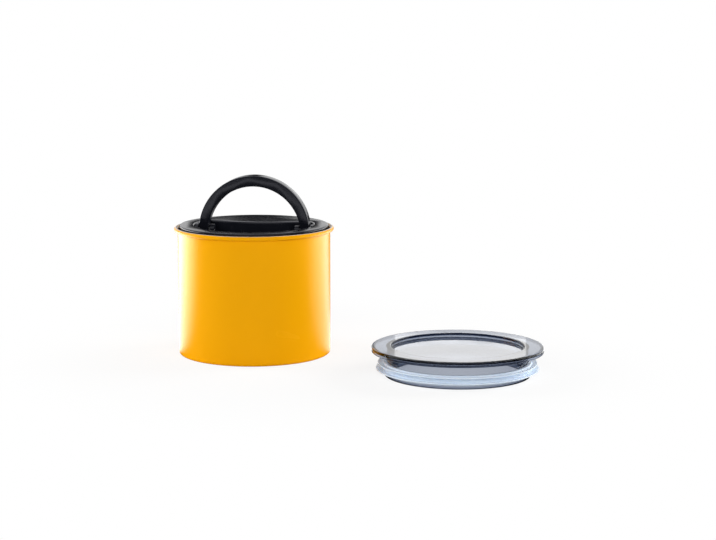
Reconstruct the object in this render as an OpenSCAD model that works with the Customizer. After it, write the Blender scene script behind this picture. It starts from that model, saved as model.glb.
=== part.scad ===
// Coffee canister with a plunging inner lid, an air valve worked by the lid's
// handle, and a clear outer lid that lies beside it.
// Origin: centre of the canister's foot ring on the floor. +Z is up, the handle's
// hinge axis is parallel to X, and the handle folds down towards -Y.

/* [Canister] */
// Outer diameter of the steel wall
body_d = 121; // [112:0.5:140]
// Height from the floor to the top of the rolled rim
body_h = 101.6; // [98:0.1:160]
// Thickness of the steel sheet
sheet_t = 0.6; // [0.5:0.05:0.8]
// Diameter of the bead that the rim is rolled into
bead_d = 3.4; // [3:0.1:4.4]
// Gap between the end of the bead's curl and the wall
curl_gap = 0.4; // [0.3:0.05:0.8]
// Outside radius of the bottom corner
corner_r = 2.4; // [1.6:0.1:5]
// Width of the foot ring that stands on the floor
foot_w = 4.5; // [3:0.1:8]
// Height of the bottom panel above the floor
base_lift = 1.6; // [1:0.1:3]

/* [Inner lid] */
// Height of the lid's top above the rim
lid_proud = 1.8; // [0:0.1:4]
// Running gap between the lid's flange and the canister's wall
lid_gap = 0.9; // [0.6:0.05:1.4]
// Gap between the wiper lips and the wall
lip_gap = 0.3; // [0.2:0.05:0.5]
// Gap between the folded handle and the wall of its well
well_gap = 3; // [2.6:0.1:4]
// Thickness of the flange
flange_t = 2.4; // [2:0.1:3.5]
// Wall thickness of the mouldings
mould_t = 2; // [1.6:0.1:2.4]
// Radius of the flange's rounded edges
edge_r = 1; // [0.5:0.1:1.1]
// Distance of the rear platform's front edge behind the lid's centre
platform_y = 13; // [11:0.5:18]
// Radius of the rear platform's front edge in plan
platform_r = 72; // [60:1:100]
// Radius of the platform's rounded front edge
platform_round = 2.4; // [1:0.1:4]
// Depth from the lid's top to the upper face of the seal
seal_depth = 17; // [16.8:0.1:22]
// Height of the seal ring
seal_h = 8; // [6:0.1:10]
// Radial width of the seal ring's body
seal_w = 3.4; // [3:0.1:4.2]
// Height of the pan's skirt below its floor
skirt_h = 8; // [7.5:0.1:10]
// Number of stiffening ribs under the pan
rib_count = 6; // [3:3:12]
// Height of the ribs under the pan
rib_h = 3; // [2:0.1:4]
// Thickness of the ribs under the pan
rib_t = 1.4; // [1.2:0.1:2]
// Number of vent slots in the floor of the well
vent_count = 5; // [1:1:7]
// Distance from one vent slot to the next
vent_pitch = 8; // [4:0.5:8]
// Width of a vent slot
vent_w = 2; // [1:0.1:2.5]
// Length of a vent slot
vent_l = 12; // [6:0.5:14]
// Distance of the vent slots in front of the lid's centre
vent_y = 14; // [10:0.5:18]

/* [Handle] */
// Outside radius of the half ring
handle_r = 44.5; // [42:0.1:46]
// Radial width of the ring
handle_w = 7.8; // [6.8:0.1:8.4]
// Thickness of the ring from front to back
handle_t = 12; // [11:0.1:13]
// Distance of the hinge axis behind the lid's centre
hinge_back = 4; // [2:0.1:5]
// Radius of the ring's outer edges
handle_round = 0.9; // [0.5:0.1:2.6]
// Distance of the grip opening's centre below the hinge axis
grip_drop = 1.5; // [0:0.1:2.4]
// Radius of the round cam on each foot
cam_r = 6; // [5.5:0.1:6.5]
// Diameter of the hinge pins
pin_d = 4; // [3:0.1:4.5]
// Running gap between the handle and what it passes
run_gap = 0.6; // [0.4:0.05:0.8]
// Radial clearance of the handle's bores round the pins
pin_clear = 0.06; // [0.03:0.01:0.1]
// Thickness of the inner bearing lugs
lug_t = 3.4; // [2.5:0.1:5]

/* [Valve] */
// Travel of the valve between handle up and handle folded
valve_travel = 2.5; // [1.5:0.1:2.5]
// Gap between the cams and the yoke's pads
pad_gap = 0.3; // [0.2:0.05:0.4]
// Gap between the closed gasket and its seat
seat_gap = 0.3; // [0.2:0.05:0.5]
// Thickness of the yoke bar
yoke_t = 3.4; // [2.8:0.1:3.6]
// Width of the pads under the cams
pad_w = 5.2; // [4:0.1:6]
// Diameter of the stem
stem_d = 5; // [4:0.1:5.5]
// Radial clearance of the stem in its guide
guide_clear = 0.08; // [0.05:0.01:0.1]
// Radius of the air port
port_r = 11; // [10:0.5:13]
// Width of the gasket ring
gasket_w = 3.4; // [2.5:0.1:4.5]
// Thickness of the gasket
gasket_t = 1.6; // [1.2:0.1:1.8]
// Thickness of the valve plate
plate_t = 2.3; // [2.2:0.1:2.8]
// Wire diameter of the spring
wire_d = 0.7; // [0.5:0.05:0.7]
// Turns of the spring
spring_turns = 3; // [2:0.5:3]

/* [Outer lid] */
// Place of the lid's centre to the right of the canister's
outer_x = 167.1; // [150:0.1:220]
// Place of the lid's centre towards the back
outer_y = -65.5; // [-120:0.5:60]
// Outside diameter of the flange
outer_d = 130.6; // [120:0.1:150]
// Height of the lid
outer_h = 22.2; // [21:0.1:28]
// Depth of the flange's turned edge
outer_edge_h = 4.2; // [3.6:0.1:5]
// Diameter of the neck that goes into the canister
neck_d = 107; // [100:0.1:108]
// Wall thickness of the neck
neck_t = 2.5; // [2:0.1:3.2]
// Depth of the round recess in the top
recess_h = 3; // [2:0.1:4]
// Thickness of the window and the flange
window_t = 2.2; // [1.8:0.1:2.6]
// Diameter of the bottom ring that keeps the seal on
ring_d = 110.8; // [108:0.1:114]
// Height of the bottom ring
ring_h = 2.4; // [2:0.1:3]
// Height of the outer lid's seal
outer_seal_h = 8; // [7:0.1:9]
// Radial reach of the seal's lower lip past the neck
outer_lip = 8.3; // [6:0.1:9]

/* [Screws] */
// Shank diameter of the pan screws
screw_d = 3; // [2.5:0.1:3.5]
// Head diameter of the pan screws
screw_head_d = 5.6; // [5:0.1:6]
// Height of the screw heads
screw_head_h = 1.8; // [1.5:0.1:2]
// Radius of the circle that the screws stand on
screw_ring_r = 42; // [40:0.5:42.5]

/* [Hidden] */
$fn = 96;

steel = [0.72, 0.72, 0.74];
amber = [0.93, 0.62, 0.04];
black = [0.07, 0.07, 0.08];
silicone = [0.80, 0.84, 0.88];
smoke = [0.62, 0.67, 0.74, 0.5];

body_r = body_d / 2;
bore_r = body_r - sheet_t;
bead_r = bead_d / 2;
foot_r = body_r - corner_r - foot_w;

lid_z = body_h + lid_proud;
flange_r = bore_r - lid_gap;
lip_r = bore_r - lip_gap;
well_r = handle_r + well_gap;
pivot_z = lid_z - handle_t / 2;
floor_z = pivot_z - handle_t / 2 - run_gap;
floor_under_z = floor_z - mould_t;
skirt_r = flange_r - 1;
seal_top_z = lid_z - seal_depth;
seal_low_z = seal_top_z - seal_h;
seal_out_r = skirt_r - 0.6;
seal_in_r = seal_out_r - seal_w;
spigot_r = seal_in_r - 0.05;
pan_z = seal_low_z - mould_t;
pan_low_z = pan_z - skirt_h;

handle_in_r = handle_r - handle_w;
grip_r = handle_in_r + grip_drop / 2;
cam_shift = valve_travel / 2;
window_gap = run_gap;
window_in_x = handle_in_r - window_gap;
window_out_x = handle_r + window_gap;
lug_r = handle_t / 2;
inner_lug_r = lug_r - 1;
lug_gap = 0.8;
pin_r = pin_d / 2;
press_gap = 0.02;
pin_in_x = handle_in_r - lug_gap - lug_t + 0.4;
pin_out_x = well_r + mould_t - 0.5;

pad_z = pivot_z - cam_r - cam_shift - pad_gap;
yoke_z = floor_under_z - valve_travel - pad_gap - yoke_t;
yoke_top_z = yoke_z + yoke_t;
pad_shift = cam_shift * 1.4;
pad_y = hinge_back + pad_shift;
pad_in_x = handle_in_r + 0.6;
pad_out_x = handle_r - 0.6;
hub_r = 8;

stem_r = stem_d / 2;
stem_head_r = stem_r + 1.5;
stem_head_h = 1.2;
guide_r = stem_r + guide_clear;
guide_wall = 1.7;
guide_top_z = yoke_z - 1;
gasket_top_z = pan_z - seat_gap - valve_travel;
plate_top_z = gasket_top_z - 0.3;
plate_z = plate_top_z - plate_t;
gasket_in_r = port_r - 0.2;
gasket_out_r = gasket_in_r + gasket_w;
plate_r = gasket_out_r + 0.6;
thread_r = stem_r - 0.7;
nut_h = 2;
nut_r = 4.4;

spring_r = guide_r + guide_wall + 0.3 + wire_d / 2;
spring_low_z = seal_low_z + 0.05 + wire_d / 2;
spring_high_z = yoke_z - 0.05 - wire_d / 2;
wire_sides = 8;
rings_per_turn = 20;

screw_r = screw_d / 2;
boss_r = screw_r + 2.2;
boss_z = seal_low_z + 3.4;
head_seat_z = pan_z + screw_head_h + 0.4;
screw_top_z = floor_under_z - 1.2;
screw_angles = [-150, -30, 90];

neck_r = neck_d / 2;
outer_r = outer_d / 2;
ring_r = ring_d / 2;
outer_seal_z = ring_h + 0.05;
outer_seal_in_r = neck_r + 0.05;

// Points of an arc in a profile: centre, radius, start and end angle, steps
function arc(cx, cz, r, a0, a1, n = 6) =
    [for (i = [0 : n]) let (a = a0 + (a1 - a0) * i / n) [cx + r * cos(a), cz + r * sin(a)]];

// A revolved profile whose points are radius and height
module turned(points) {
    rotate_extrude() polygon(points);
}

// A straight round bar along X from x0 to x1 at the hinge axis
module bar_x(x0, x1, r, y = hinge_back, z = pivot_z) {
    translate([x0, y, z]) rotate([0, 90, 0]) cylinder(h = x1 - x0, r = r);
}

// Children once on the right and once mirrored to the left
module both_sides() {
    children();
    mirror([1, 0, 0]) children();
}

// Canister

module canister_body() {
    color(amber) {
        turned(concat(
            [[0, base_lift], [foot_r - base_lift, base_lift], [foot_r, 0]],
            arc(body_r - corner_r, corner_r, corner_r, -90, 0),
            [[body_r, body_h - bead_r], [bore_r, body_h - bead_r]],
            arc(body_r - corner_r, corner_r, corner_r - sheet_t, 0, -90),
            [[foot_r + sheet_t / 2, sheet_t], [foot_r - base_lift + sheet_t / 2, base_lift + sheet_t],
                [0, base_lift + sheet_t]]));
        rim_bead();
    }
}

module rim_bead() {
    rotate_extrude() difference() {
        translate([bore_r + bead_r, body_h - bead_r]) circle(r = bead_r, $fn = 32);
        translate([bore_r + bead_r, body_h - bead_r]) circle(r = bead_r - sheet_t, $fn = 32);
        translate([bore_r, body_h - bead_d]) square([sheet_t + curl_gap, bead_r]);
    }
}

// Inner lid

module inner_lid_deck() {
    color(black) difference() {
        union() {
            difference() {
                union() {
                    deck_shell();
                    platform_body();
                }
                platform_hollow();
            }
            both_sides() bearing_lugs();
            deck_bosses();
        }
        both_sides() handle_window();
        both_sides() bar_x(pin_in_x - 0.4, well_r + mould_t + 1, pin_r + press_gap);
        pilot_holes();
        vent_slots();
    }
}

module deck_shell() {
    turned(concat(
        [[0, floor_z], [well_r, floor_z]],
        arc(well_r + edge_r, lid_z - edge_r, edge_r, 180, 90, 4),
        arc(flange_r - edge_r, lid_z - edge_r, edge_r, 90, 0, 4),
        [[flange_r, lid_z - flange_t + 0.5], [flange_r - 0.5, lid_z - flange_t],
            [skirt_r, lid_z - flange_t], [skirt_r, seal_top_z], [skirt_r - mould_t, seal_top_z],
            [skirt_r - mould_t, lid_z - flange_t], [well_r + mould_t, lid_z - flange_t],
            [well_r + mould_t, floor_under_z], [0, floor_under_z]]));
}

// Raised lens behind the handle, its front edge rounded over
module platform_body() {
    intersection() {
        translate([0, 0, floor_under_z]) cylinder(h = lid_z - floor_under_z, r = well_r + edge_r);
        translate([0, platform_y + platform_r, 0])
            turned(concat([[0, floor_under_z], [platform_r, floor_under_z]],
                arc(platform_r - platform_round, lid_z - platform_round, platform_round, 0, 90),
                [[0, lid_z]]));
    }
}

// The hollow under the platform, open to the inside of the lid
module platform_hollow() {
    hollow_z = floor_under_z - 1;
    intersection() {
        translate([0, 0, hollow_z]) cylinder(h = lid_z - mould_t - hollow_z, r = well_r);
        translate([0, platform_y + platform_r, hollow_z])
            cylinder(h = lid_z - mould_t - hollow_z, r = platform_r - mould_t);
    }
}

// A lug outside each foot of the handle and one inside it, round the hinge pin
module bearing_lugs() {
    intersection() {
        translate([0, 0, floor_z - mould_t]) cylinder(h = lid_z - floor_z + mould_t, r = well_r + 0.5);
        lug(window_out_x, well_r + 1, lug_r);
    }
    lug(handle_in_r - lug_gap - lug_t, handle_in_r - lug_gap, inner_lug_r);
}

module lug(x0, x1, r) {
    bar_x(x0, x1, r);
    translate([x0, hinge_back - r, floor_under_z + 0.5])
        cube([x1 - x0, 2 * r, pivot_z - floor_under_z - 0.5]);
}

module handle_window() {
    translate([window_in_x, hinge_back + cam_shift - cam_r - window_gap - 0.2, floor_under_z - 1])
        cube([window_out_x - window_in_x, 2 * cam_r + 2 * window_gap + cam_shift, mould_t + 2]);
}

module deck_bosses() {
    for (a = screw_angles)
        rotate([0, 0, a]) translate([screw_ring_r, 0, boss_z])
            cylinder(h = (a == 90 ? lid_z - 1 : floor_under_z + 1) - boss_z, r = boss_r);
}

module pilot_holes() {
    for (a = screw_angles)
        rotate([0, 0, a]) translate([screw_ring_r, 0, boss_z - 1])
            cylinder(h = screw_top_z + 0.6 - boss_z + 1, r = screw_r + 0.05, $fn = 32);
}

// Air leaves through a row of slots in the floor of the well, in front of the handle
module vent_slots() {
    span = (vent_count - 1) * vent_pitch;
    for (x = [-span / 2 : vent_pitch : span / 2])
        translate([x - vent_w / 2, -vent_y - vent_l, floor_under_z - 1]) cube([vent_w, vent_l, mould_t + 2]);
}

module inner_lid_pan() {
    color(black) difference() {
        union() {
            pan_shell();
            translate([0, 0, pan_z]) cylinder(h = guide_top_z - pan_z, r = guide_r + guide_wall);
            pan_bosses();
            pan_ribs();
        }
        translate([0, 0, pan_z - 1]) cylinder(h = guide_top_z - pan_z + 2, r = guide_r);
        port_windows();
        screw_ways();
    }
}

module pan_shell() {
    skirt_out_r = skirt_r + 0.2;
    skirt_bevel = 1.4;
    turned([[0, pan_z], [skirt_out_r - mould_t, pan_z], [skirt_out_r - mould_t, pan_low_z],
        [skirt_out_r - 0.8, pan_low_z], [skirt_out_r, pan_low_z + skirt_bevel],
        [skirt_out_r, seal_low_z], [spigot_r, seal_low_z], [spigot_r, seal_top_z + 1.4],
        [spigot_r - mould_t, seal_top_z + 1.4], [spigot_r - mould_t, seal_low_z], [0, seal_low_z]]);
}

// Four windows round the guide, parted by spokes
module port_windows() {
    spoke_w = 2.4;
    difference() {
        translate([0, 0, pan_z - 1]) cylinder(h = mould_t + 2, r = port_r);
        translate([0, 0, pan_z - 2]) cylinder(h = mould_t + 4, r = spring_r + wire_d);
        for (a = [45, 135])
            rotate([0, 0, a]) translate([-port_r - 1, -spoke_w / 2, pan_z - 2])
                cube([2 * port_r + 2, spoke_w, mould_t + 4]);
    }
}

// Ribs from the valve plate's clearance out to the skirt, midway between the screws
module pan_ribs() {
    rib_in_r = plate_r + 1.5;
    for (i = [0 : rib_count - 1])
        rotate([0, 0, i * 360 / rib_count]) translate([rib_in_r, -rib_t / 2, pan_z - rib_h])
            cube([skirt_r - mould_t / 2 - rib_in_r, rib_t, rib_h + 0.5]);
}

module pan_bosses() {
    for (a = screw_angles)
        rotate([0, 0, a]) translate([screw_ring_r, 0, pan_z]) cylinder(h = boss_z - pan_z, r = boss_r);
}

module screw_ways() {
    for (a = screw_angles)
        rotate([0, 0, a]) translate([screw_ring_r, 0, pan_z - 1]) {
            cylinder(h = boss_z - pan_z + 2, r = screw_r + 0.2, $fn = 32);
            cylinder(h = head_seat_z - pan_z + 1, r = screw_head_d / 2 + 0.2, $fn = 32);
        }
}

module wiper_seal() {
    lip_t = 0.8;
    color(silicone) turned([[seal_in_r, seal_low_z], [seal_out_r, seal_low_z],
        [seal_out_r, seal_low_z + 0.4], [lip_r - 0.3, seal_low_z + 2.2], [lip_r, seal_low_z + 2.6],
        [lip_r - 0.1, seal_low_z + 3.1], [seal_out_r - 1, seal_low_z + 2.6 + lip_t],
        [seal_out_r - 1, seal_low_z + 4.2], [lip_r - 0.3, seal_top_z - 1.4], [lip_r, seal_top_z - 1],
        [lip_r - 0.2, seal_top_z - 0.5], [seal_out_r - 0.8, seal_top_z - 1.3],
        [seal_out_r - 1, seal_top_z], [seal_in_r, seal_top_z]]);
}

module pan_screws() {
    color(steel) for (a = screw_angles)
        rotate([0, 0, a]) translate([screw_ring_r, 0, 0]) difference() {
            union() {
                translate([0, 0, head_seat_z - screw_head_h])
                    cylinder(h = screw_head_h, r = screw_head_d / 2, $fn = 32);
                translate([0, 0, head_seat_z - 0.1])
                    cylinder(h = screw_top_z - head_seat_z + 0.1, r = screw_r, $fn = 32);
            }
            translate([0, 0, head_seat_z - screw_head_h - 1]) cylinder(h = 2, r = 1.3, $fn = 6);
        }
}

// Handle and its pins

module handle() {
    color(black) difference() {
        union() {
            handle_ring();
            both_sides() handle_foot();
        }
        both_sides() bar_x(handle_in_r - 1, handle_r + 1, pin_r + pin_clear);
        both_sides() foot_relief();
    }
}

// Half ring whose axis lies along Y, a little thicker at the top than above the feet
module handle_ring() {
    half = handle_t / 2;
    translate([0, hinge_back, pivot_z]) rotate([90, 0, 0]) difference() {
        rotate_extrude(angle = 180)
            polygon(concat([[0, -half]],
                arc(handle_r - handle_round, handle_round - half, handle_round, -90, 0, 5),
                arc(handle_r - handle_round, half - handle_round, handle_round, 0, 90, 5),
                [[0, half]]));
        translate([0, -grip_drop, 0]) grip_opening();
    }
}

// What the fingers go through: a round bar that flares at both ends to ease the ring's edges
module grip_opening() {
    ease = 0.8;
    half = handle_t / 2;
    turned(concat([[0, -half - 1], [grip_r + ease, -half - 1]],
        arc(grip_r + ease, ease - half, ease, 270, 180, 3),
        arc(grip_r + ease, half - ease, ease, 180, 90, 3),
        [[grip_r + ease, half + 1], [0, half + 1]]));
}

// The foot is a round cam set off the hinge axis, so that it presses lower when the handle stands
module handle_foot() {
    bar_x(handle_in_r, handle_r - 0.2, cam_r, hinge_back + cam_shift, pivot_z - cam_shift);
    translate([handle_in_r, hinge_back, pivot_z]) rotate([90, 0, 90])
        linear_extrude(handle_w - 0.4)
            polygon([[cam_shift - cam_r + 0.2, -cam_shift], [cam_shift + cam_r - 0.2, -cam_shift],
                [handle_t / 2, 3], [-handle_t / 2 + 0.4, 3]]);
}

// Trims the ring's front corner so that the folded foot clears the yoke's pad
module foot_relief() {
    cam_y = cam_shift - cam_r;
    straight = pad_w / 2 - pad_shift + run_gap;
    front_y = -handle_t / 2;
    high = straight + cam_y - front_y + run_gap;
    translate([handle_in_r - 2, hinge_back, pivot_z]) rotate([90, 0, 90])
        linear_extrude(handle_w + 4)
            polygon([[front_y - 2, -cam_shift], [cam_y, -cam_shift], [cam_y, straight],
                [front_y, high], [front_y - 2, high]]);
}

module hinge_pin_left() {
    color(steel) mirror([1, 0, 0]) hinge_pin();
}

module hinge_pin_right() {
    color(steel) hinge_pin();
}

module hinge_pin() {
    bar_x(pin_in_x, pin_out_x, pin_r);
}

// Valve

module valve_yoke() {
    arm_w = 7;
    color(black) difference() {
        union() {
            translate([0, 0, yoke_z]) cylinder(h = yoke_t, r = hub_r);
            translate([0, 0, yoke_z]) linear_extrude(yoke_t)
                polygon([[-pad_out_x, pad_y - arm_w / 2], [0, -hub_r + 1], [pad_out_x, pad_y - arm_w / 2],
                    [pad_out_x, pad_y + arm_w / 2], [0, hub_r - 1], [-pad_out_x, pad_y + arm_w / 2]]);
            both_sides() translate([pad_in_x, pad_y - pad_w / 2, yoke_z])
                cube([pad_out_x - pad_in_x, pad_w, pad_z - yoke_z]);
        }
        translate([0, 0, yoke_z - 1]) cylinder(h = yoke_t + 2, r = stem_r + press_gap);
        translate([0, 0, yoke_top_z - stem_head_h]) cylinder(h = 2, r = stem_head_r + 0.1);
    }
}

module valve_stem() {
    head_z = yoke_top_z - stem_head_h;
    color(steel) {
        translate([0, 0, plate_top_z]) cylinder(h = head_z - plate_top_z, r = stem_r);
        translate([0, 0, head_z]) cylinder(h = stem_head_h, r = stem_head_r);
        translate([0, 0, plate_z - nut_h]) cylinder(h = plate_t + nut_h, r = thread_r);
    }
}

module valve_plate() {
    color(black) turned([[thread_r + press_gap, plate_z], [plate_r - 0.6, plate_z],
        [plate_r, plate_z + 0.6], [plate_r, plate_top_z], [gasket_out_r + press_gap, plate_top_z],
        [gasket_out_r + press_gap, gasket_top_z - gasket_t],
        [gasket_in_r - press_gap, gasket_top_z - gasket_t], [gasket_in_r - press_gap, plate_top_z],
        [thread_r + press_gap, plate_top_z]]);
}

module valve_gasket() {
    color(silicone) turned([[gasket_in_r, gasket_top_z - gasket_t],
        [gasket_out_r, gasket_top_z - gasket_t], [gasket_out_r, gasket_top_z - 0.4],
        [gasket_out_r - 0.4, gasket_top_z], [gasket_in_r + 0.4, gasket_top_z],
        [gasket_in_r, gasket_top_z - 0.4]]);
}

module stem_nut() {
    color(steel) translate([0, 0, plate_z - nut_h]) difference() {
        cylinder(h = nut_h, r = nut_r, $fn = 6);
        translate([0, 0, -1]) cylinder(h = nut_h + 2, r = thread_r + press_gap, $fn = 32);
    }
}

// Swept wire: rings of points along a helix, closed at both ends
module valve_spring() {
    steps = round(spring_turns * rings_per_turn);
    rise = spring_high_z - spring_low_z;
    points = [for (i = [0 : steps], j = [0 : wire_sides - 1])
        let (turn = 360 * spring_turns * i / steps, side = 360 * j / wire_sides,
            r = spring_r + wire_d / 2 * cos(side))
        [r * cos(turn), r * sin(turn), spring_low_z + rise * i / steps + wire_d / 2 * sin(side)]];
    walls = [for (i = [0 : steps - 1], j = [0 : wire_sides - 1])
        let (a = i * wire_sides + j, b = i * wire_sides + (j + 1) % wire_sides)
        each [[a, b, b + wire_sides], [a, b + wire_sides, a + wire_sides]]];
    low_end = [[for (j = [wire_sides - 1 : -1 : 0]) j]];
    high_end = [[for (j = [0 : wire_sides - 1]) steps * wire_sides + j]];
    echo(least_gap_between_turns = rise / spring_turns - wire_d);
    color(steel) polyhedron(points, concat(walls, low_end, high_end));
}

// Outer lid

module outer_lid_shell() {
    edge_round = 1.4;
    recess_r = neck_r - neck_t - 0.8;
    recess_z = outer_h - recess_h;
    flange_low_z = outer_h - window_t;
    color(smoke) translate([outer_x, outer_y, 0]) turned(concat(
        [[0, recess_z], [recess_r, recess_z], [recess_r, outer_h - 0.6], [recess_r + 0.6, outer_h]],
        arc(outer_r - edge_round, outer_h - edge_round, edge_round, 90, 0),
        [[outer_r, outer_h - outer_edge_h + 0.5], [outer_r - 0.5, outer_h - outer_edge_h],
            [outer_r - window_t + 0.4, outer_h - outer_edge_h], [outer_r - window_t, flange_low_z],
            [neck_r, flange_low_z], [neck_r, ring_h], [ring_r, ring_h], [ring_r, 0.5],
            [ring_r - 0.5, 0], [neck_r - neck_t, 0], [neck_r - neck_t, recess_z - window_t],
            [0, recess_z - window_t]]));
}

module outer_lid_seal() {
    z = outer_seal_z;
    top_z = z + outer_seal_h;
    r = outer_seal_in_r;
    tip_r = neck_r + outer_lip;
    body_w = 2.6;
    color(silicone) translate([outer_x, outer_y, 0]) turned([[r, z], [r + body_w, z],
        [tip_r - 0.6, z + 2.3], [tip_r, z + 2.7], [tip_r - 0.3, z + 3.3], [r + body_w, z + 2.4],
        [r + body_w, z + 4.6], [tip_r - 1.9, z + outer_seal_h - 1.6], [tip_r - 1.4, z + outer_seal_h - 1.2],
        [tip_r - 1.7, z + outer_seal_h - 0.7], [r + body_w, z + outer_seal_h - 1.6],
        [r + body_w - 0.4, top_z], [r, top_z]]);
}

canister_body();
inner_lid_deck();
inner_lid_pan();
wiper_seal();
pan_screws();
handle();
hinge_pin_left();
hinge_pin_right();
valve_yoke();
valve_stem();
valve_plate();
valve_gasket();
stem_nut();
valve_spring();
outer_lid_shell();
outer_lid_seal();
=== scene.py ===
import math
from collections import namedtuple

import bmesh
import bpy
from mathutils import Euler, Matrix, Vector


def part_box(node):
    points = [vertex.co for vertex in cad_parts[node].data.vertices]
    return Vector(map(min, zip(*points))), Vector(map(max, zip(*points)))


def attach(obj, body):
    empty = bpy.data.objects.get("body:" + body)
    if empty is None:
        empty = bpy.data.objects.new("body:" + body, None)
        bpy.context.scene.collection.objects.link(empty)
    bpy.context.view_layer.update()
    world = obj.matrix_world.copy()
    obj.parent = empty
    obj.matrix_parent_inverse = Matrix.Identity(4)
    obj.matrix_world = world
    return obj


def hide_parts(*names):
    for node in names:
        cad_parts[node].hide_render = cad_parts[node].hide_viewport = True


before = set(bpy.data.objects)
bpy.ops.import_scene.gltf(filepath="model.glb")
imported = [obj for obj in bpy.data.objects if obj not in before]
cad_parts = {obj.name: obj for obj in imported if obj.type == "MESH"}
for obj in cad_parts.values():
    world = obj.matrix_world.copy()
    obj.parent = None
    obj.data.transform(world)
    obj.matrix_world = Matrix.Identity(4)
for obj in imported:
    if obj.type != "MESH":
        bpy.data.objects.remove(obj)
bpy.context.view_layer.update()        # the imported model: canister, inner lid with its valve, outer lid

# Sizes are in millimetres and angles in degrees unless a name or a note says otherwise

MM = 0.001
INSET = 0.02              # how far a turned piece's widest radius stays inside its CAD solid

# Turned pieces
TURN_STEPS = 256          # faces round a turned piece
SCREW_STEPS = 48          # faces round a screw
ARC_STEPS = 6             # faces in a rounded corner of an outline
SUPPORT = 0.3             # an extra point this far from a rounded corner keeps the flat's shading even
GUIDE_R = 100             # the circle that the lathe sweeps an outline along
SEAM_GAP_M = 1e-7         # closer points of a turned piece are one
TURNED_SHARP = 38         # edges between faces that meet at more than this stay sharp

# Pieces that keep their CAD shapes
WELD_GAP_M = 1e-6         # closer points of a CAD mesh are one
FLAT_ANGLE = 0.4          # faces that meet at less than this are made one
SKIN_SHARP = 34
BREAK_ANGLE = 40          # edges that turn by more than this are broken
MOULDED_BREAK = 0.25      # width of a broken edge, on plastic
METAL_BREAK = 0.2         # and on the pins, the stem and the nut

# Canister
SHEET_T = 0.6
BEAD_R = 1.7
CURL_END = -152           # round the bead, from straight out, where the curled sheet ends
CURL_IN_STEPS = 30
CURL_OUT_STEPS = 36
PAINT_END = 70            # above the bead's middle, where the enamel stops
CORNER_R = 2.4
FOOT_W = 4.5
FOOT_CORNER_R = 0.8
BASE_LIFT = 1.6

# Outer lid
FLANGE_W = 11.8           # from the neck's outside to the rim


def node_box(node):
    """The lowest and highest corner of a node at rest, in millimetres."""
    low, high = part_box(node)
    return [v / MM for v in low], [v / MM for v in high]


def widest_r(low, high):
    """The largest radius of a turned piece that stands for a node with this box."""
    return (high[0] - low[0]) / 2 - INSET


BODY_LOW, BODY_HIGH = node_box("canister_body")
BODY_H = BODY_HIGH[2]
BORE_R = widest_r(BODY_LOW, BODY_HIGH) - 2 * BEAD_R
BODY_R = BORE_R + SHEET_T
LID_LOW, LID_HIGH = node_box("outer_lid_shell")
LID_CENTRE = ((LID_LOW[0] + LID_HIGH[0]) / 2, (LID_LOW[1] + LID_HIGH[1]) / 2)
LID_H = LID_HIGH[2]
LID_R = widest_r(LID_LOW, LID_HIGH)
NECK_R = LID_R - FLANGE_W


# Outlines

def rounded(points, steps=ARC_STEPS):
    """A closed outline whose third numbers are corner radii, those corners turned into arcs."""
    outline = []
    for i, point in enumerate(points):
        corner = Vector(point[:2])
        radius = point[2] if len(point) > 2 else 0
        if not radius:
            outline.append(tuple(corner))
            continue
        back = Vector(points[i - 1][:2]) - corner
        on = Vector(points[(i + 1) % len(points)][:2]) - corner
        back_dir, on_dir = back.normalized(), on.normalized()
        half = back_dir.angle(on_dir) / 2
        reach = radius / math.tan(half)
        centre = corner + (back_dir + on_dir).normalized() * radius / math.sin(half)
        start = corner + back_dir * reach - centre
        end = corner + on_dir * reach - centre
        turn = math.atan2(start.x * end.y - start.y * end.x, start.dot(end))
        if back.length > 2 * (reach + SUPPORT):
            outline.append(tuple(corner + back_dir * (reach + SUPPORT)))
        for k in range(steps + 1):
            a = turn * k / steps
            spoke = Vector((start.x * math.cos(a) - start.y * math.sin(a),
                            start.x * math.sin(a) + start.y * math.cos(a)))
            outline.append(tuple(centre + spoke))
        if on.length > 2 * (reach + SUPPORT):
            outline.append(tuple(corner + on_dir * (reach + SUPPORT)))
    return outline


def arc(centre, radius, start, end, steps):
    """Points on an arc."""
    return [(centre[0] + radius * math.cos(math.radians(start + (end - start) * k / steps)),
             centre[1] + radius * math.sin(math.radians(start + (end - start) * k / steps)))
            for k in range(steps + 1)]


# Node trees

def add(tree, kind, **settings):
    """A node with its properties set."""
    node = tree.nodes.new(kind)
    for key, value in settings.items():
        setattr(node, key, value)
    return node


def wire(tree, node, links, values):
    """Links a node's inputs by name, and sets other inputs to plain values."""
    for label, output in links.items():
        tree.links.new(output, node.inputs[label])
    for label, value in values.items():
        node.inputs[label].default_value = value


def feed(tree, kind, links, values=None, **settings):
    """The outputs of a new node whose inputs are linked by name or set to plain values."""
    node = add(tree, kind, **settings)
    wire(tree, node, links, values or {})
    return node.outputs


def group_tree(kind, name, result, **inputs):
    """An empty node group, with what its named inputs give and the socket that takes its result."""
    tree = bpy.data.node_groups.new(name, kind)
    for label, socket in inputs.items():
        tree.interface.new_socket(label.replace("_", " "), in_out="INPUT",
                                  socket_type="NodeSocket" + socket)
    tree.interface.new_socket(result[0], in_out="OUTPUT", socket_type="NodeSocket" + result[1])
    return tree, add(tree, "NodeGroupInput").outputs, add(tree, "NodeGroupOutput").inputs[result[0]]


def geometry_tree(name, **inputs):
    """An empty group that makes a mesh from a start mesh and named inputs."""
    return group_tree("GeometryNodeTree", name, ("Geometry", "Geometry"), Geometry="Geometry", **inputs)


def finish_tree(tree, shape, material, result):
    """Ends a geometry tree: instances made real, and the material on every face."""
    real = feed(tree, "GeometryNodeRealizeInstances", {"Geometry": shape})
    dressed = feed(tree, "GeometryNodeSetMaterial", {"Geometry": real["Geometry"], "Material": material})
    tree.links.new(dressed["Geometry"], result)
    return tree


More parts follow.
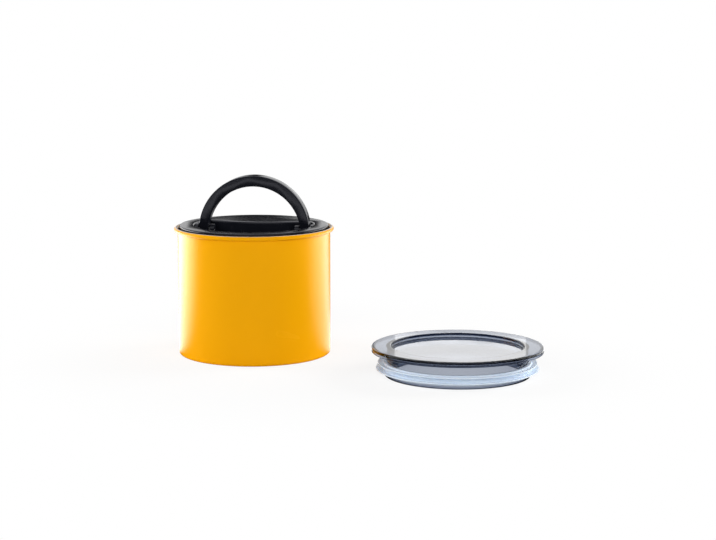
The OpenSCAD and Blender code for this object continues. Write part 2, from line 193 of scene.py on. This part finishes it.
def lathe():
    """Turns the outline that it is given, radius along X and height along -Y, round a centre."""
    tree, inputs, result = geometry_tree("lathe", Steps="Int", Centre="Vector", Material="Material")
    outline = feed(tree, "GeometryNodeMeshToCurve", {"Mesh": inputs["Geometry"]})
    turn = feed(tree, "GeometryNodeCurvePrimitiveCircle", {"Resolution": inputs["Steps"]},
                {"Radius": GUIDE_R * MM})
    upright = feed(tree, "GeometryNodeSetCurveNormal", {"Curve": turn["Curve"]}, mode="Z_UP")
    swept = feed(tree, "GeometryNodeCurveToMesh",
                 {"Curve": upright["Curve"], "Profile Curve": outline["Curve"]})
    closed = feed(tree, "GeometryNodeMergeByDistance", {"Geometry": swept["Mesh"]},
                  {"Distance": SEAM_GAP_M})
    placed = feed(tree, "GeometryNodeSetPosition",
                  {"Geometry": closed["Geometry"], "Offset": inputs["Centre"]})
    return finish_tree(tree, placed["Geometry"], inputs["Material"], result)


def screw_ring():
    """Turns one screw from its outline, cuts its six-sided drive, and sets copies on a ring."""
    tree, inputs, result = geometry_tree(
        "screw_ring", Count="Int", Ring_Radius="Float", First_Angle="Float", Low="Float",
        Drive_Radius="Float", Drive_Depth="Float", Material="Material")
    blank = feed(tree, "GeometryNodeGroup", {"Geometry": inputs["Geometry"]}, {"Steps": SCREW_STEPS},
                 node_tree=LATHE)
    # the cutter's middle lies in the head's face, so it is twice as long as the drive is deep
    twice = feed(tree, "ShaderNodeMath", {0: inputs["Drive Depth"]}, {1: 2}, operation="MULTIPLY")
    cutter = feed(tree, "GeometryNodeMeshCylinder",
                  {"Radius": inputs["Drive Radius"], "Depth": twice["Value"]}, {"Vertices": 6})
    screw = feed(tree, "GeometryNodeMeshBoolean",
                 {"Mesh 1": blank["Geometry"], "Mesh 2": cutter["Mesh"]}, solver="EXACT")
    ring = feed(tree, "GeometryNodeMeshCircle",
                {"Vertices": inputs["Count"], "Radius": inputs["Ring Radius"]})
    turn = feed(tree, "ShaderNodeCombineXYZ", {"Z": inputs["First Angle"]})
    lift = feed(tree, "ShaderNodeCombineXYZ", {"Z": inputs["Low"]})
    placed = feed(tree, "GeometryNodeTransform",
                  {"Geometry": ring["Mesh"], "Rotation": turn["Vector"], "Translation": lift["Vector"]})
    screws = feed(tree, "GeometryNodeInstanceOnPoints",
                  {"Points": placed["Geometry"], "Instance": screw["Mesh"]})
    return finish_tree(tree, screws["Instances"], inputs["Material"], result)


def coil_spring():
    """Sweeps a round wire along a helix."""
    tree, inputs, result = geometry_tree(
        "coil_spring", Coil_Radius="Float", Wire_Radius="Float", Turns="Float", Rise="Float",
        Low="Float", Material="Material")
    steps_a_turn, steps_round_wire = 48, 12
    helix = feed(tree, "GeometryNodeCurveSpiral",
                 {"Rotations": inputs["Turns"], "Start Radius": inputs["Coil Radius"],
                  "End Radius": inputs["Coil Radius"], "Height": inputs["Rise"]},
                 {"Resolution": steps_a_turn})
    wire_outline = feed(tree, "GeometryNodeCurvePrimitiveCircle", {"Radius": inputs["Wire Radius"]},
                        {"Resolution": steps_round_wire})
    swept = feed(tree, "GeometryNodeCurveToMesh",
                 {"Curve": helix["Curve"], "Profile Curve": wire_outline["Curve"]}, {"Fill Caps": True})
    lift = feed(tree, "ShaderNodeCombineXYZ", {"Z": inputs["Low"]})
    placed = feed(tree, "GeometryNodeTransform",
                  {"Geometry": swept["Mesh"], "Translation": lift["Vector"]})
    return finish_tree(tree, placed["Geometry"], inputs["Material"], result)


LATHE = lathe()
SCREW_RING = screw_ring()
COIL_SPRING = coil_spring()


# Meshes

def new_piece(name, mesh, sharp):
    """An object for a mesh, smooth except where two faces meet at more than the sharp angle."""
    mesh.polygons.foreach_set("use_smooth", [True] * len(mesh.polygons))
    mesh.set_sharp_from_angle(angle=math.radians(sharp))
    piece = bpy.data.objects.new(name, mesh)
    bpy.context.scene.collection.objects.link(piece)
    return piece


def grown(name, tree, inputs, points=(), sharp=TURNED_SHARP):
    """A closed mesh from a geometry tree, its named inputs set, with an outline as its start."""
    start = bpy.data.meshes.new(name)
    start.from_pydata(points, [(i, (i + 1) % len(points)) for i in range(len(points))], [])
    seed = bpy.data.objects.new(name + "_start", start)
    bpy.context.scene.collection.objects.link(seed)
    growth = seed.modifiers.new("growth", "NODES")
    growth.node_group = tree
    for socket in tree.interface.items_tree:
        if socket.in_out == "INPUT" and socket.name in inputs:
            growth[socket.identifier] = inputs[socket.name]
    evaluated = seed.evaluated_get(bpy.context.evaluated_depsgraph_get())
    mesh = bpy.data.meshes.new_from_object(evaluated)
    bpy.data.objects.remove(seed)
    return facing_out(new_piece(name, mesh, sharp))


def facing_out(piece):
    """Turns a closed piece's faces outwards, and takes away edges that hold no face."""
    bm = bmesh.new()
    bm.from_mesh(piece.data)
    bmesh.ops.delete(bm, geom=[edge for edge in bm.edges if not edge.link_faces], context="EDGES")
    bmesh.ops.recalc_face_normals(bm, faces=bm.faces)
    bm.to_mesh(piece.data)
    bm.free()
    return piece


def for_lathe(outline):
    """An outline of radius and height as the lathe tree takes it, radius measured from its guide."""
    return [((radius - GUIDE_R) * MM, -height * MM, 0) for radius, height in outline]


def turned(name, outline, material, centre=(0, 0)):
    """A solid of revolution from a closed outline of radius and height."""
    inputs = {"Steps": TURN_STEPS, "Centre": (centre[0] * MM, centre[1] * MM, 0), "Material": material}
    return grown(name, LATHE, inputs, for_lathe(outline))


def skin(node, material):
    """A piece in a node's shape, its loose triangles joined and its flat faces made whole."""
    bm = bmesh.new()
    bm.from_mesh(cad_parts[node].data)
    bmesh.ops.remove_doubles(bm, verts=bm.verts, dist=WELD_GAP_M)
    bmesh.ops.dissolve_limit(bm, angle_limit=math.radians(FLAT_ANGLE), verts=bm.verts, edges=bm.edges)
    mesh = bpy.data.meshes.new(node + "_skin")
    bm.to_mesh(mesh)
    bm.free()
    mesh.materials.append(material)
    return new_piece(node + "_skin", mesh, SKIN_SHARP)


def eased(piece, width):
    """Breaks the sharp edges of a moulded or turned piece, so that they catch the light."""
    bevel = piece.modifiers.new("broken_edges", "BEVEL")
    bevel.width = width * MM
    bevel.segments = 2
    bevel.limit_method = "ANGLE"
    bevel.angle_limit = math.radians(BREAK_ANGLE)
    return piece


def split_finish(piece, second_material, is_second):
    """Gives a second material to the faces that is_second picks, by their centre and normal."""
    piece.data.materials.append(second_material)
    for face in piece.data.polygons:
        if is_second(face.center / MM, face.normal):
            face.material_index = 1


def finish_piece(piece, body, node):
    """Gives a piece its body, and hides the node that it stands for."""
    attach(piece, body)
    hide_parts(node)


# Shader nodes

def effect_tree(name, **inputs):
    """An empty group that gives a value at a point, from the point and named inputs."""
    return group_tree("ShaderNodeTree", name, ("Value", "Float"), Vector="Vector", **inputs)


def effect(tree, group, point, **values):
    """A shared effect's value at a point, in a material that sets its inputs."""
    return feed(tree, "ShaderNodeGroup", {"Vector": point}, values, node_tree=group)["Value"]


def ranged(tree, value, start=0, end=1, low=0, high=1, smooth=False):
    """A number that goes from low to high while a value goes from start to end."""
    return feed(tree, "ShaderNodeMapRange", {"Value": value},
                {"From Min": start, "From Max": end, "To Min": low, "To Max": high},
                interpolation_type="SMOOTHSTEP" if smooth else "LINEAR")["Result"]


def combined(tree, operation, first, second):
    """One number from two, by an operation such as MULTIPLY."""
    return feed(tree, "ShaderNodeMath", {0: first, 1: second}, operation=operation)["Value"]


def length(tree, vector):
    """A vector's length."""
    return feed(tree, "ShaderNodeVectorMath", {0: vector}, operation="LENGTH")["Value"]


def along(tree, direction, axis):
    """How far a direction goes along an axis, from -1 to 1."""
    return feed(tree, "ShaderNodeVectorMath", {0: direction}, {1: axis},
                operation="DOT_PRODUCT")["Value"]


def object_coordinates(tree):
    """The point on the object, in metres."""
    return add(tree, "ShaderNodeTexCoord").outputs["Object"]


def blend_colour(tree, factor, first, second):
    """A colour between two, by a factor."""
    return feed(tree, "ShaderNodeMix", {"Factor": factor}, {"A": (*first, 1), "B": (*second, 1)},
                data_type="RGBA")["Result"]


def bump(tree, height, distance, strength):
    """A normal bumped by a height, distance in metres."""
    return feed(tree, "ShaderNodeBump", {"Height": height},
                {"Distance": distance, "Strength": strength})["Normal"]


def mix_shaders(tree, factor, first, second):
    """The first shader at 0, the second at 1."""
    return feed(tree, "ShaderNodeMixShader", {"Fac": factor, 1: first, 2: second})["Shader"]


def mottle():
    """Soft patches, from 0 to 1, made from the middle of a noise's range."""
    tree, inputs, result = effect_tree("mottle", Scale="Float", Detail="Float")
    noise = feed(tree, "ShaderNodeTexNoise",
                 {label: inputs[label] for label in ("Vector", "Scale", "Detail")})
    tree.links.new(ranged(tree, noise["Fac"], start=0.3, end=0.7), result)
    return tree


def scratches():
    """Fine scratches: 1 on hairlines that run across a stretched noise, 0 elsewhere."""
    tree, inputs, result = effect_tree("scratches", Stretch="Vector")
    stretched = feed(tree, "ShaderNodeVectorMath", {0: inputs["Vector"], 1: inputs["Stretch"]},
                     operation="MULTIPLY")
    noise = feed(tree, "ShaderNodeTexNoise", {"Vector": stretched["Vector"]}, {"Scale": 1, "Detail": 3})
    tree.links.new(ranged(tree, noise["Fac"], start=0.56, end=0.70), result)
    return tree


MOTTLE = mottle()
SCRATCHES = scratches()


# Materials

def new_material(name):
    """A material with its tree and its Principled shader, ready for sockets to be set."""
    material = bpy.data.materials.new(name)
    material.use_nodes = True
    return material, material.node_tree, material.node_tree.nodes["Principled BSDF"]


def amber_enamel():
    """Satin enamel over the drawn steel: a touch deeper in patches, with fine orange peel."""
    material, tree, shader = new_material("amber_enamel")
    point = object_coordinates(tree)
    patches = effect(tree, MOTTLE, point, Scale=14, Detail=1)
    peel = effect(tree, MOTTLE, point, Scale=1400, Detail=2)
    amber, deeper_amber, yellow_gloss = (0.842, 0.370, 0.0), (0.837, 0.367, 0.0), (1.0, 0.75, 0.2, 1)
    wire(tree, shader,
         {"Base Color": blend_colour(tree, patches, amber, deeper_amber),
          "Roughness": ranged(tree, patches, low=0.268, high=0.274),
          "Normal": bump(tree, peel, distance=0.00002, strength=0.3)},
         {"Specular Tint": yellow_gloss})
    return material


def bare_steel():
    """Bright steel with fine marks from rolling and turning.

    It is less than fully metallic, because the lamps that light the inside of the canister are
    hidden from gloss.
    """
    material, tree, shader = new_material("bare_steel")
    point = object_coordinates(tree)
    marks = effect(tree, SCRATCHES, point, Stretch=(30, 30, 1600))
    cloud = effect(tree, MOTTLE, point, Scale=60, Detail=3)
    bright, clouded = (0.66, 0.655, 0.66), (0.56, 0.56, 0.57)
    wire(tree, shader,
         {"Base Color": blend_colour(tree, cloud, bright, clouded),
          "Roughness": ranged(tree, marks, low=0.26, high=0.34),
          "Normal": bump(tree, marks, distance=0.00001, strength=0.2)},
         {"Metallic": 0.72})
    return material


def black_moulding():
    """Semi-gloss blue-black plastic with a fine spark texture and faint scuffs."""
    material, tree, shader = new_material("black_moulding")
    point = object_coordinates(tree)
    grain = effect(tree, MOTTLE, point, Scale=2600, Detail=2)
    cloud = effect(tree, MOTTLE, point, Scale=45, Detail=5)
    scuffs = effect(tree, SCRATCHES, point, Stretch=(180, 900, 240))
    blue_black, handled_black = (0.006, 0.0068, 0.010), (0.009, 0.0098, 0.014)
    bluish_gloss = (0.9, 0.9, 1.0, 1)
    wire(tree, shader,
         {"Base Color": blend_colour(tree, cloud, blue_black, handled_black),
          "Roughness": combined(tree, "MAXIMUM", ranged(tree, cloud, low=0.15, high=0.20),
                                ranged(tree, scuffs, high=0.32)),
          "Normal": bump(tree, grain, distance=0.00002, strength=0.4)},
         {"Specular IOR Level": 0.45, "Specular Tint": bluish_gloss})
    return material


def clear_moulding():
    """Clear plastic, smoke-tinted through its thickness, hazed a little by handling."""
    material, tree, shader = new_material("clear_moulding")
    point = object_coordinates(tree)
    haze = effect(tree, MOTTLE, point, Scale=35, Detail=5)
    flow = effect(tree, MOTTLE, point, Scale=22, Detail=2)
    clear, hazed, smoke_blue = (0.96, 0.97, 0.985), (0.945, 0.955, 0.97), (0.12, 0.2, 0.36, 1)
    wire(tree, shader,
         {"Base Color": blend_colour(tree, haze, clear, hazed),
          "Roughness": ranged(tree, haze, low=0.02, high=0.07),
          "Normal": bump(tree, flow, distance=0.0002, strength=0.12)},
         {"Transmission Weight": 1, "IOR": 1.49})
    smoke = feed(tree, "ShaderNodeVolumeAbsorption", {}, {"Color": smoke_blue, "Density": 340})
    wire(tree, tree.nodes["Material Output"], {"Volume": smoke["Volume"]}, {})
    return material


def seal_silicone():
    """Milky white-blue silicone, soft in its gloss, with dust in patches."""
    material, tree, shader = new_material("seal_silicone")
    point = object_coordinates(tree)
    dust = effect(tree, MOTTLE, point, Scale=60, Detail=3)
    skin_grain = effect(tree, MOTTLE, point, Scale=900, Detail=3)
    milky_blue, dusty = (0.69, 0.78, 0.89), (0.74, 0.82, 0.91)
    wire(tree, shader,
         {"Base Color": blend_colour(tree, dust, milky_blue, dusty),
          "Roughness": ranged(tree, dust, low=0.3, high=0.36),
          "Normal": bump(tree, skin_grain, distance=0.000004, strength=0.2)},
         {"Subsurface Weight": 0.12, "Subsurface Radius": (0.003, 0.004, 0.005), "IOR": 1.41})
    return material


ENAMEL = amber_enamel()
STEEL = bare_steel()
BLACK = black_moulding()
CLEAR = clear_moulding()
SILICONE = seal_silicone()


# Canister

def canister():
    """The drawn shell: lifted bottom panel, foot ring, straight wall and the bead curled outwards."""
    foot_r = BODY_R - CORNER_R - FOOT_W
    panel_r = foot_r - BASE_LIFT
    panel_top = BASE_LIFT + SHEET_T
    bead_z = BODY_H - BEAD_R
    bead_centre = (BORE_R + BEAD_R, bead_z)
    under = rounded([(0, BASE_LIFT), (panel_r, BASE_LIFT, FOOT_CORNER_R), (foot_r, 0, FOOT_CORNER_R),
                     (BODY_R, 0, CORNER_R), (BODY_R, bead_z)])
    inside = rounded([(BORE_R, bead_z), (BORE_R, SHEET_T, CORNER_R - SHEET_T),
                      (foot_r, SHEET_T, FOOT_CORNER_R), (panel_r, panel_top, FOOT_CORNER_R),
                      (0, panel_top)])
    curl_in = arc(bead_centre, BEAD_R - SHEET_T, 180, CURL_END, CURL_IN_STEPS)
    curl_out = arc(bead_centre, BEAD_R, CURL_END, 180, CURL_OUT_STEPS)
    # the curl starts where the outline under it ends, and ends where the one inside starts
    piece = turned("canister_shell", under[:-1] + curl_in + curl_out + inside[1:], ENAMEL)
    paint_end = bead_z + BEAD_R * math.sin(math.radians(PAINT_END))
    mid_panel = BASE_LIFT + SHEET_T / 2
    wall_end_r, inside_end_r = BORE_R + 0.1, BORE_R + 0.2
    least_upward = 0.1

    def is_bare(centre, normal):
        radius = math.hypot(centre.x, centre.y)
        faces_up = radius < inside_end_r and normal.z > least_upward
        on_wall = radius < wall_end_r and centre.z > mid_panel
        return centre.z > paint_end or faces_up or on_wall

    split_finish(piece, STEEL, is_bare)
    finish_piece(piece, "canister", "canister_body")


# Inner lid

def inner_lid():
    """Mouldings, pins and seals keep their CAD shapes, with joined faces and broken edges."""
    for node, body in (("inner_lid_deck", "inner_lid"), ("inner_lid_pan", "inner_lid"),
                       ("handle", "handle"), ("valve_yoke", "valve"), ("valve_plate", "valve")):
        finish_piece(eased(skin(node, BLACK), MOULDED_BREAK), body, node)
    for node, body in (("hinge_pin_left", "inner_lid"), ("hinge_pin_right", "inner_lid"),
                       ("valve_stem", "valve"), ("stem_nut", "valve")):
        finish_piece(eased(skin(node, STEEL), METAL_BREAK), body, node)
    for node, body in (("wiper_seal", "inner_lid"), ("valve_gasket", "valve")):
        finish_piece(skin(node, SILICONE), body, node)


def pan_screws():
    """Three screws with domed heads, driven up from under the pan."""
    low, high = node_box("pan_screws")
    screw_h = high[2] - low[2]
    head_r, head_h, dome_r = 2.75, 1.8, 0.6
    shank_r, tip_corner_r, small_corner_r = 1.45, 0.4, 0.15
    ring_r, drive_r, drive_depth = 42, 1.3, 1
    outline = rounded([(0, 0), (head_r, 0, dome_r), (head_r, head_h, small_corner_r),
                       (shank_r, head_h, small_corner_r), (shank_r, screw_h, tip_corner_r),
                       (0, screw_h)])
    piece = grown("pan_screw_set", SCREW_RING,
                  {"Count": 3, "Ring Radius": ring_r * MM, "First Angle": math.radians(90),
                   "Low": low[2] * MM, "Drive Radius": drive_r * MM, "Drive Depth": drive_depth * MM,
                   "Material": STEEL}, for_lathe(outline))
    finish_piece(piece, "inner_lid", "pan_screws")


def valve_spring():
    """A round wire wound in three turns under the yoke."""
    low, high = node_box("valve_spring")
    wire_r = 0.35
    piece = grown("valve_spring_coil", COIL_SPRING,
                  {"Coil Radius": (widest_r(low, high) - wire_r) * MM, "Wire Radius": wire_r * MM,
                   "Turns": 3.0, "Rise": (high[2] - low[2] - 2 * wire_r) * MM,
                   "Low": (low[2] + wire_r) * MM, "Material": STEEL}, sharp=60)
    finish_piece(piece, "inner_lid", "valve_spring")


# Outer lid

def outer_lid():
    """The clear cover, a lathe shape with a flange, a recessed window and a hollow neck."""
    wall_t = 2.2              # window, flange and rim
    recess_r = NECK_R - 3.3
    recess_z = LID_H - 3
    neck_in_r = NECK_R - 2.5
    rim_low_z = LID_H - 4.2
    ring_r = NECK_R + 1.9     # round the neck's foot, under the gasket
    ring_h = 2.4
    outline = rounded([
        (0, recess_z), (recess_r, recess_z, 0.5), (recess_r, LID_H, 0.7), (LID_R, LID_H, 1.6),
        (LID_R, rim_low_z, 0.7), (LID_R - wall_t, rim_low_z, 0.5),
        (LID_R - wall_t, LID_H - wall_t, 0.7), (NECK_R, LID_H - wall_t, 0.6),
        (NECK_R, ring_h, 0.3), (ring_r, ring_h, 0.4), (ring_r, 0, 0.6), (neck_in_r, 0, 0.5),
        (neck_in_r, recess_z - wall_t, 1.2), (0, recess_z - wall_t)])
    piece = turned("outer_lid_cover", outline, CLEAR, LID_CENTRE)
    finish_piece(piece, "outer_lid", "outer_lid_shell")


def outer_lid_seal():
    """The silicone ring round the neck, with a long lower lip and a shorter upper one."""
    low, high = node_box("outer_lid_seal")
    z, top = low[2], high[2]
    tip_r = widest_r(low, high)
    inner_r = NECK_R + 0.05
    ring_r = inner_r + 2.6
    corner_r, top_slant, tip_slant = 0.2, 0.2, 0.1

    def lip(root_low, tip_low, tip_high, root_high, short, radii):
        """A lip's four corners: up from its root to its tip, and back to the ring."""
        return [(ring_r, z + root_low, radii[0]), (tip_r - short, z + tip_low, radii[1]),
                (tip_r - short - tip_slant, z + tip_high, radii[2]), (ring_r, z + root_high, radii[3])]

    lower_lip = lip(root_low=0, tip_low=2.3, tip_high=3.1, root_high=2.4, short=0,
                    radii=(0.5, 0.4, 0.35, 0.4))
    upper_lip = lip(root_low=4.8, tip_low=6.5, tip_high=7.3, root_high=6.6, short=1.4,
                    radii=(0.4, 0.35, 0.35, 0.3))
    outline = rounded([(inner_r, z, corner_r), *lower_lip, *upper_lip,
                       (ring_r - top_slant, top, 0.3), (inner_r, top, corner_r)], steps=4)
    piece = turned("outer_lid_gasket", outline, SILICONE, LID_CENTRE)
    finish_piece(piece, "outer_lid", "outer_lid_seal")


# Studio, in metres

def level(azimuth):
    """A level direction, by its angle from +X towards +Y."""
    return (math.cos(math.radians(azimuth)), math.sin(math.radians(azimuth)), 0)


VIEW_AZIMUTH = 100.15     # from the camera over the canister
LAMP_AIM = Vector((0.05, -0.02, 0.06))
SHADOW_MIDDLE = (0.08, 0, 0)

# A pool of light painted on the floor, which only gloss sees: it comes up from faint to full as a
# direction nears the pool's own, by their cosine, and from its least share to all of it from near to far
Pool = namedtuple("Pool", "axis faint full power near far least")
LEFT_POOL = Pool(level(157), faint=0.78, full=0.98, power=7, near=0, far=0.65, least=0.45)
RIGHT_POOL = Pool(level(36), faint=0.79, full=0.985, power=4, near=0, far=0.65, least=0.45)
FRONT_POOL = Pool(level(-80), faint=0.3, full=0.8, power=1.2, near=0.66, far=0.95, least=0)


def seen_by_rays(tree, lit, in_gloss, seen, share=None):
    """What lights the object, what gloss sees, and what is seen directly or through clear plastic.

    Of what is seen, share comes from the last shader. It is mixed last, because a ray that goes
    through clear plastic counts as gloss too.
    """
    path = add(tree, "ShaderNodeLightPath").outputs
    direct = combined(tree, "MAXIMUM", path["Is Camera Ray"], path["Is Transmission Ray"])
    if share is not None:
        direct = combined(tree, "MULTIPLY", direct, share)
    return mix_shaders(tree, direct, mix_shaders(tree, path["Is Glossy Ray"], lit, in_gloss), seen)


def pools_of_light(tree, point):
    """How bright gloss sees the floor: painted pools of light at the left and the right, and one well in
    front.
    """
    outwards = feed(tree, "ShaderNodeVectorMath", {0: point}, operation="NORMALIZE")["Vector"]
    distance = length(tree, point)
    total = None
    for pool in (LEFT_POOL, RIGHT_POOL, FRONT_POOL):
        by_direction = ranged(tree, along(tree, outwards, pool.axis), start=pool.faint, end=pool.full,
                              high=pool.power, smooth=True)
        by_distance = ranged(tree, distance, start=pool.near, end=pool.far, low=pool.least, smooth=True)
        light = combined(tree, "MULTIPLY", by_direction, by_distance)
        total = light if total is None else combined(tree, "ADD", total, light)
    return total


def pale_floor():
    """White, and partly lit near the object, so that it holds a faint shadow.

    Gloss sees pools of light painted on it at both sides, where the side lamps meet it, and dark close in
    front.
    """
    material, tree, shader = new_material("pale_floor")
    wire(tree, shader, {}, {"Base Color": (0.94, 0.94, 0.94, 1), "Roughness": 0.9,
                            "Specular IOR Level": 0})
    point = object_coordinates(tree)
    from_middle = feed(tree, "ShaderNodeVectorMath", {0: point}, {1: SHADOW_MIDDLE},
                       operation="SUBTRACT")
    white_share = ranged(tree, length(tree, from_middle["Vector"]), start=0.14, end=0.3, low=0.86,
                         smooth=True)
    white = add(tree, "ShaderNodeEmission").outputs["Emission"]
    pools = feed(tree, "ShaderNodeEmission", {"Strength": pools_of_light(tree, point)})["Emission"]
    surface = seen_by_rays(tree, shader.outputs["BSDF"], pools, white, white_share)
    wire(tree, tree.nodes["Material Output"], {"Surface": surface}, {})
    return material


def floor():
    """A pale floor, wide enough to fill the view."""
    half = 20.0
    mesh = bpy.data.meshes.new("floor")
    mesh.from_pydata([(x * half, y * half, 0) for x, y in ((-1, -1), (1, -1), (1, 1), (-1, 1))], [],
                     [(0, 1, 2, 3)])
    plane = bpy.data.objects.new("floor", mesh)
    bpy.context.scene.collection.objects.link(plane)
    mesh.materials.append(pale_floor())


def world_light():
    """A fill that comes mostly from low down.

    Gloss sees white overhead and behind, with a dark slit straight behind, and dark elsewhere.
    """
    world = bpy.data.worlds.new("studio")
    bpy.context.scene.world = world
    world.use_nodes = True
    world.cycles.sampling_method = "NONE"       # the rays find the fill without a map of it
    tree = world.node_tree
    tree.nodes.clear()
    direction = add(tree, "ShaderNodeTexCoord").outputs["Generated"]
    height = feed(tree, "ShaderNodeSeparateXYZ", {"Vector": direction})["Z"]
    fill = ranged(tree, height, end=0.7, low=0.3, high=0.1, smooth=True)
    aside = feed(tree, "ShaderNodeMath", {0: along(tree, direction, level(VIEW_AZIMUTH - 90))},
                 operation="ABSOLUTE")["Value"]
    beside_slit = ranged(tree, aside, start=0.012, end=0.07, smooth=True)
    behind = ranged(tree, along(tree, direction, level(VIEW_AZIMUTH)), start=-0.1, end=0.15, smooth=True)
    ceiling = ranged(tree, height, start=0.35, end=0.8, high=0.7, smooth=True)
    room = combined(tree, "MAXIMUM", combined(tree, "MULTIPLY", beside_slit, behind), ceiling)
    lit, in_gloss, white = [
        feed(tree, "ShaderNodeBackground", links, {"Color": (1, 1, 1, 1)})["Background"]
        for links in ({"Strength": fill}, {"Strength": room}, {})]
    surface = seen_by_rays(tree, lit, in_gloss, white)
    wire(tree, add(tree, "ShaderNodeOutputWorld"), {"Surface": surface}, {})


def softbox(name, azimuth, reach, low, size, power, diffuse=True, gloss=True):
    """An area lamp that stands round the object and faces it, with its lower edge at a height."""
    data = bpy.data.lights.new(name, "AREA")
    data.shape = "RECTANGLE"
    data.size, data.size_y = size
    data.energy = power
    lamp = bpy.data.objects.new(name, data)
    across, on, _ = level(azimuth)
    lamp.location = (reach * across, reach * on, low + size[1] / 2)
    lamp.rotation_euler = (LAMP_AIM - lamp.location).to_track_quat("-Z", "Y").to_euler()
    lamp.visible_camera = False
    lamp.visible_transmission = False
    lamp.visible_diffuse = diffuse
    lamp.visible_glossy = gloss
    bpy.context.scene.collection.objects.link(lamp)


def lamps():
    """Three lamps light surfaces, and two show only in gloss."""
    softbox("side_left", azimuth=172, reach=1.15, low=0.05, size=(0.7, 0.7), power=16, gloss=False)
    softbox("side_right", azimuth=26, reach=1.15, low=0.05, size=(0.7, 0.7), power=15, gloss=False)
    softbox("front_fill", azimuth=-76, reach=1.65, low=0.3, size=(1.4, 0.9), power=18, gloss=False)
    softbox("top_back", azimuth=100, reach=0.6, low=0.95, size=(0.9, 0.35), power=2.2, diffuse=False)
    # a card that the clear lid's window mirrors
    softbox("card_back", azimuth=83.8, reach=0.935, low=0.206, size=(0.17, 0.06), power=0.032,
            diffuse=False)


def camera():
    """The photograph's view: low, from the front and a little to the right."""
    below_level, turn = 8.924, 7
    data = bpy.data.cameras.new("camera")
    data.sensor_width = 36
    data.lens = 95.86
    data.clip_end = 50
    view = bpy.data.objects.new("camera", data)
    view.location = (0.26487, -1.47979, 0.30208)
    view.rotation_euler = Euler((math.radians(90 - below_level), 0, math.radians(turn)), "XYZ")
    bpy.context.scene.collection.objects.link(view)
    bpy.context.scene.camera = view


canister()
inner_lid()
pan_screws()
valve_spring()
outer_lid()
outer_lid_seal()
floor()
world_light()
lamps()
camera()
bpy.context.scene.view_settings.view_transform = "Standard"
